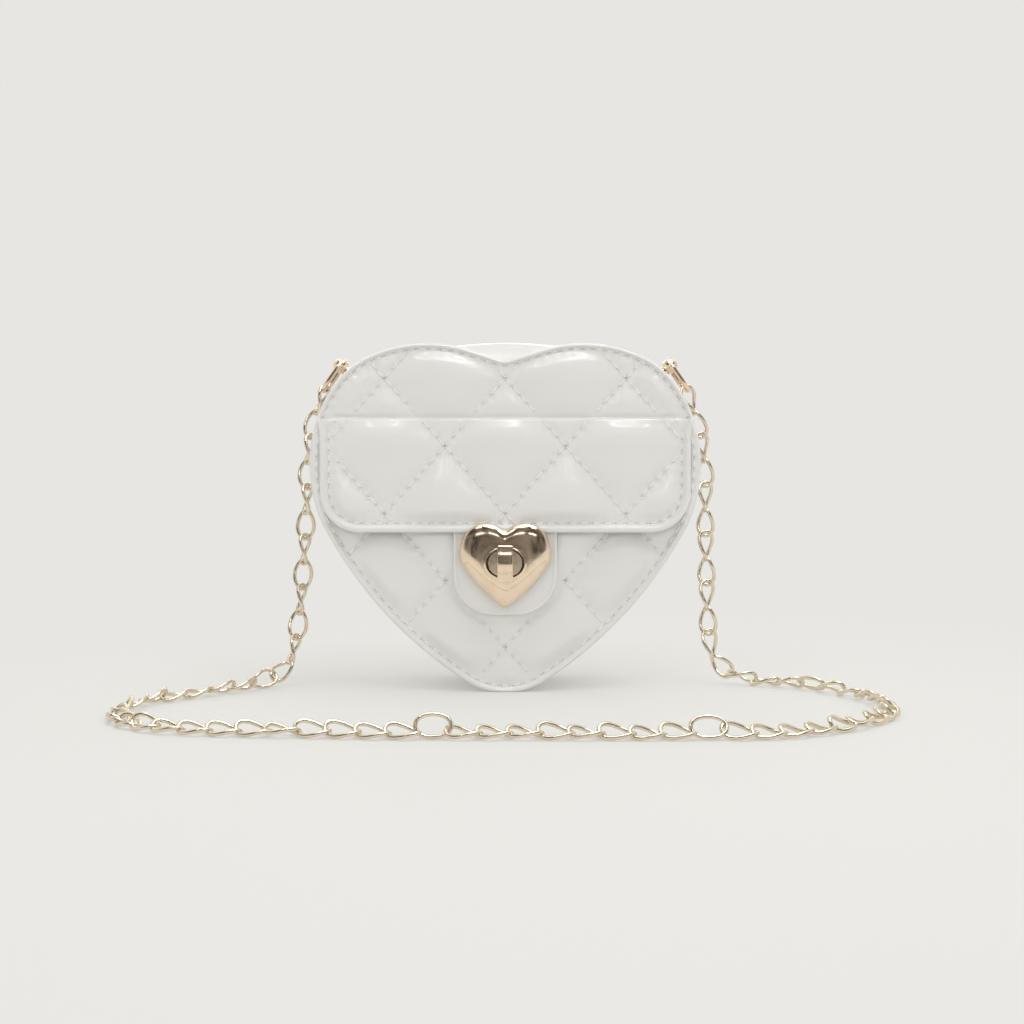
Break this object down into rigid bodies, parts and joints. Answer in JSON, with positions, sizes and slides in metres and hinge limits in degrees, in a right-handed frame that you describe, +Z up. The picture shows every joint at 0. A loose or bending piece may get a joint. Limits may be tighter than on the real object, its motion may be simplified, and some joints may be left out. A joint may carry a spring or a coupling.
{
  "type": "heart shaped purse",
  "caption": "Small quilted heart shaped shoulder purse with a front flap, a heart turn lock and a link chain strap.",
  "frame": {"origin": "middle of the small flat that the purse stands on, under the middle of its depth", "axes": "+Z up, -Y out of the front, +X to the right of someone looking at the front"},
  "size_m": [0.2812, 0.1431, 0.1347],
  "materials": {
    "white_patent": "gloss",
    "padding_foam": "matte",
    "stiff_board": "matte",
    "lining_cloth": "matte",
    "pale_gold": "polished",
    "chain_gold": "polished",
    "plain_steel": "satin"
  },
  "bodies": {
    "purse": {"back_panel": "white_patent", "front_panel": "white_patent", "gusset_band": "white_patent", "yoke_panel": "white_patent", "back_padding": "padding_foam", "front_padding": "padding_foam", "yoke_padding": "padding_foam", "gusset_board": "stiff_board", "back_lining": "lining_cloth", "front_lining": "lining_cloth", "gusset_lining": "lining_cloth", "knob_base": "pale_gold", "ring_stud_left": "pale_gold", "ring_stud_right": "pale_gold", "chain_left_drop": "chain_gold", "chain_floor_run": "chain_gold", "chain_right_drop": "chain_gold", "chain_joining_links": "chain_gold", "knob_washer": "plain_steel", "knob_spring": "plain_steel", "stud_screw_left": "plain_steel", "stud_screw_right": "plain_steel", "stud_washer_left": "plain_steel", "stud_washer_right": "plain_steel"},
    "flap": {"flap_panel": "white_patent", "flap_padding": "padding_foam", "flap_lining": "lining_cloth", "lock_tongue": "white_patent", "heart_plate": "pale_gold", "plate_backing": "plain_steel", "plate_pins": "plain_steel"},
    "knob": {"turn_knob": "pale_gold", "knob_clip": "plain_steel"},
    "ring_left": {"strap_ring_left": "pale_gold"},
    "ring_right": {"strap_ring_right": "pale_gold"}
  },
  "joints": [
    {"name": "flap_fold", "type": "hinge", "parent": "purse", "child": "flap", "pos_m": [0, -0.0278, 0.106], "axis": [-1, 0, 0], "range_deg": [0, 150]},
    {"name": "knob_turn", "type": "hinge", "parent": "purse", "child": "knob", "pos_m": [0, -0.033, 0.0504], "axis": [0, -1, 0], "range_deg": [0, 90]},
    {"name": "ring_swing_left", "type": "hinge", "parent": "purse", "child": "ring_left", "pos_m": [-0.06618, 0, 0.12802], "axis": [0, 1, 0], "range_deg": [-20, 75], "deforming": ["chain_left_drop"]},
    {"name": "ring_swing_right", "type": "hinge", "parent": "purse", "child": "ring_right", "pos_m": [0.06618, 0, 0.12802], "axis": [0, -1, 0], "range_deg": [-20, 75], "deforming": ["chain_right_drop"]}
  ]
}
